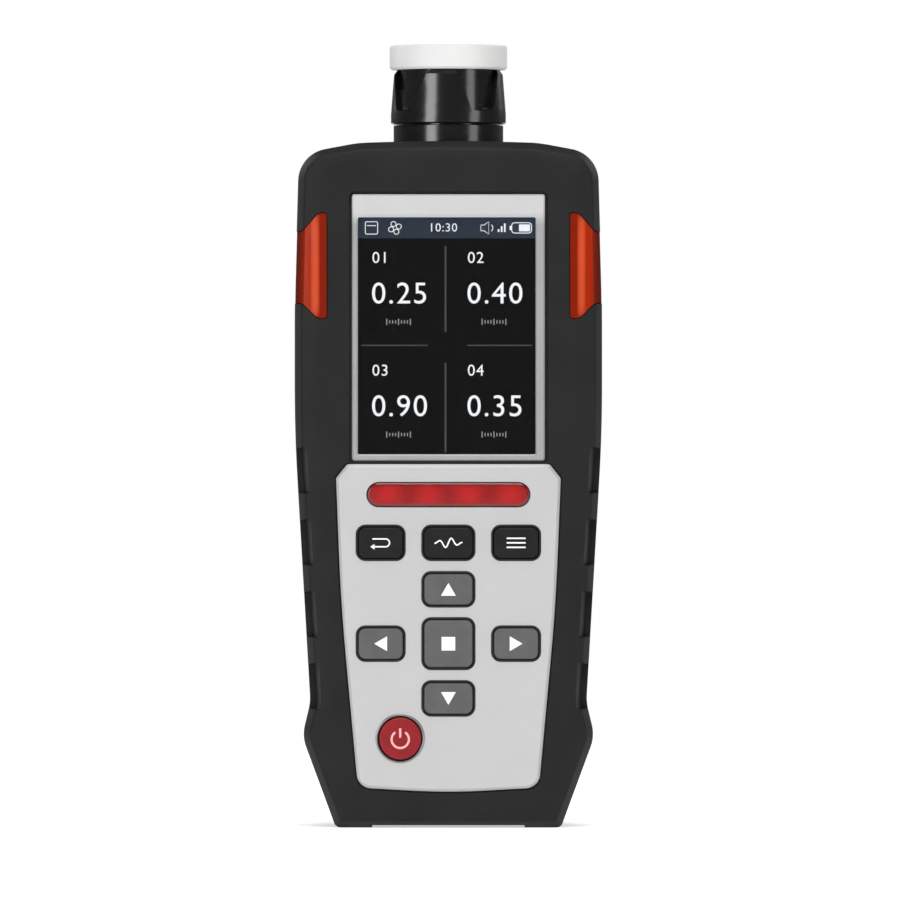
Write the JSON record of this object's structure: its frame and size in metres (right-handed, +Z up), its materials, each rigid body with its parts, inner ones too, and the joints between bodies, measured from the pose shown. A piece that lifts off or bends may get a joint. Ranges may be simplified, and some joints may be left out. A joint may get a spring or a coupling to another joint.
{
  "type": "portable gas detector",
  "caption": "Handheld pumped multi-gas detector in a rubber boot: screwed gas inlet with filter cap, colour display, keypad, alarm lights, belt clip and battery door.",
  "frame": {"origin": "centre of the footprint, on the surface that the two feet stand on", "axes": "+Z up towards the gas inlet, the display and keys face -Y, +X to the viewer's right"},
  "size_m": [0.0748, 0.0502, 0.1907],
  "materials": {
    "boot_rubber": "matte moulded rubber, black",
    "case_plastic": "fine spark-eroded texture, black",
    "frame_silver": "satin silver lacquer",
    "panel_silver": "satin silver-grey lacquer",
    "clear_lens": "clear, hard-coated",
    "lcd_glass": "dark polarised glass, lit",
    "backlight_metal": "bright sheet",
    "seal_rubber": "grey elastomer",
    "mat_rubber": "black silicone",
    "key_grey": "matte grey",
    "key_black": "matte black",
    "key_red": "matte red",
    "spring_steel": "bright",
    "board_green": "solder-mask green",
    "chip_black": "moulded",
    "bar_red": "translucent red",
    "alarm_orange": "translucent orange-red",
    "led_white": "moulded lamp",
    "inlet_black": "polished black",
    "cap_white": "sintered white",
    "membrane": "matte membrane",
    "tray_grey": "moulded",
    "cell_wrap": "shrink wrap, unprinted",
    "contact_nickel": "nickel plated",
    "screw_steel": "turned",
    "insert_brass": "turned",
    "sensor_white": "moulded",
    "manifold_plastic": "moulded grey",
    "pump_plastic": "moulded",
    "motor_metal": "zinc plated",
    "vent_bronze": "sintered",
    "weight_metal": "sintered heavy metal",
    "clip_steel": "brushed sheet"
  },
  "bodies": {
    "body": {"rubber_boot": "boot_rubber", "front_case": "case_plastic", "rear_case": "case_plastic", "case_seal": "seal_rubber", "case_screws": "screw_steel", "display_frame": "frame_silver", "display_lens": "clear_lens", "display_gasket": "seal_rubber", "lcd_glass": "lcd_glass", "lcd_backlight": "backlight_metal", "keypad_panel": "panel_silver", "keypad_mat": "mat_rubber", "key_domes": "spring_steel", "key_board": "board_green", "light_bar": "bar_red", "bar_leds": "led_white", "alarm_light_left": "alarm_orange", "alarm_light_right": "alarm_orange", "light_boards": "board_green", "inlet_neck": "inlet_black", "neck_seal": "seal_rubber", "filter_disc": "membrane", "battery_tray": "tray_grey", "battery_cells": "cell_wrap", "battery_contacts": "contact_nickel", "door_seal": "seal_rubber", "brass_inserts": "insert_brass", "main_board": "board_green", "board_chips": "chip_black", "board_screws": "screw_steel", "sensor_board": "board_green", "gas_sensors": "sensor_white", "gas_manifold": "manifold_plastic", "pump_head": "pump_plastic", "pump_motor": "motor_metal", "buzzer": "pump_plastic", "exhaust_vent": "vent_bronze", "vibration_motor": "motor_metal", "tripod_insert": "insert_brass", "belt_clip": "clip_steel", "clip_screws": "screw_steel", "port_socket": "motor_metal", "flap_pin": "screw_steel"},
    "key_back": {"key_back": "key_black"},
    "key_measure": {"key_measure": "key_black"},
    "key_menu": {"key_menu": "key_black"},
    "key_up": {"key_up": "key_grey"},
    "key_left": {"key_left": "key_grey"},
    "key_enter": {"key_enter": "key_grey"},
    "key_right": {"key_right": "key_grey"},
    "key_down": {"key_down": "key_grey"},
    "key_power": {"key_power": "key_red"},
    "filter_cap": {"filter_cap": "cap_white"},
    "retaining_ring": {"retaining_ring": "inlet_black"},
    "battery_door": {"battery_door": "case_plastic"},
    "door_screw_low": {"door_screw_low": "screw_steel"},
    "door_screw_high": {"door_screw_high": "screw_steel"},
    "port_flap": {"port_flap": "boot_rubber"},
    "vibration_weight": {"vibration_weight": "weight_metal"},
    "pump_crank": {"pump_crank": "insert_brass"}
  },
  "joints": [
    {"name": "key_back_press", "type": "slide", "parent": "body", "child": "key_back", "axis": [0, 1, 0], "range_m": [0, 0.0006], "stiffness_N_per_m": 600, "springref_m": -0.0005},
    {"name": "key_measure_press", "type": "slide", "parent": "body", "child": "key_measure", "axis": [0, 1, 0], "range_m": [0, 0.0006], "stiffness_N_per_m": 600, "springref_m": -0.0005},
    {"name": "key_menu_press", "type": "slide", "parent": "body", "child": "key_menu", "axis": [0, 1, 0], "range_m": [0, 0.0006], "stiffness_N_per_m": 600, "springref_m": -0.0005},
    {"name": "key_up_press", "type": "slide", "parent": "body", "child": "key_up", "axis": [0, 1, 0], "range_m": [0, 0.0006], "stiffness_N_per_m": 600, "springref_m": -0.0005},
    {"name": "key_left_press", "type": "slide", "parent": "body", "child": "key_left", "axis": [0, 1, 0], "range_m": [0, 0.0006], "stiffness_N_per_m": 600, "springref_m": -0.0005},
    {"name": "key_enter_press", "type": "slide", "parent": "body", "child": "key_enter", "axis": [0, 1, 0], "range_m": [0, 0.0006], "stiffness_N_per_m": 600, "springref_m": -0.0005},
    {"name": "key_right_press", "type": "slide", "parent": "body", "child": "key_right", "axis": [0, 1, 0], "range_m": [0, 0.0006], "stiffness_N_per_m": 600, "springref_m": -0.0005},
    {"name": "key_down_press", "type": "slide", "parent": "body", "child": "key_down", "axis": [0, 1, 0], "range_m": [0, 0.0006], "stiffness_N_per_m": 600, "springref_m": -0.0005},
    {"name": "key_power_press", "type": "slide", "parent": "body", "child": "key_power", "axis": [0, 1, 0], "range_m": [0, 0.0006], "stiffness_N_per_m": 600, "springref_m": -0.0005},
    {"name": "ring_lift", "type": "slide", "parent": "body", "child": "filter_cap", "axis": [0, 0, 1], "range_m": [0, 0.00801]},
    {"name": "ring_turn", "type": "hinge", "parent": "filter_cap", "child": "retaining_ring", "pos_m": [0, -0.0027, 0.1715], "axis": [0, 0, 1], "range_deg": [0, 1440]},
    {"name": "door_lift_off", "type": "slide", "parent": "body", "child": "battery_door", "axis": [0, 1, 0], "range_m": [0, 0.02]},
    {"name": "door_screw_low_turn", "type": "hinge", "parent": "battery_door", "child": "door_screw_low", "pos_m": [0, 0.0179, 0.012], "axis": [0, 1, 0], "continuous": true},
    {"name": "door_screw_high_turn", "type": "hinge", "parent": "battery_door", "child": "door_screw_high", "pos_m": [0, 0.0179, 0.091], "axis": [0, 1, 0], "continuous": true},
    {"name": "port_flap_open", "type": "hinge", "parent": "body", "child": "port_flap", "pos_m": [-0.0364, -0.0068, 0.107], "axis": [0, 0, -1], "range_deg": [0, 95]},
    {"name": "vibration_spin", "type": "hinge", "parent": "body", "child": "vibration_weight", "pos_m": [0.0252, 0.0003, 0.044], "axis": [0, 0, 1], "continuous": true},
    {"name": "pump_spin", "type": "hinge", "parent": "body", "child": "pump_crank", "pos_m": [-0.0019, -0.0017, 0.0939], "axis": [1, 0, 0], "continuous": true}
  ],
  "couplings": [
    {"joint": "ring_lift", "follows": "ring_turn", "m_per_rad": 0.00031831}
  ]
}
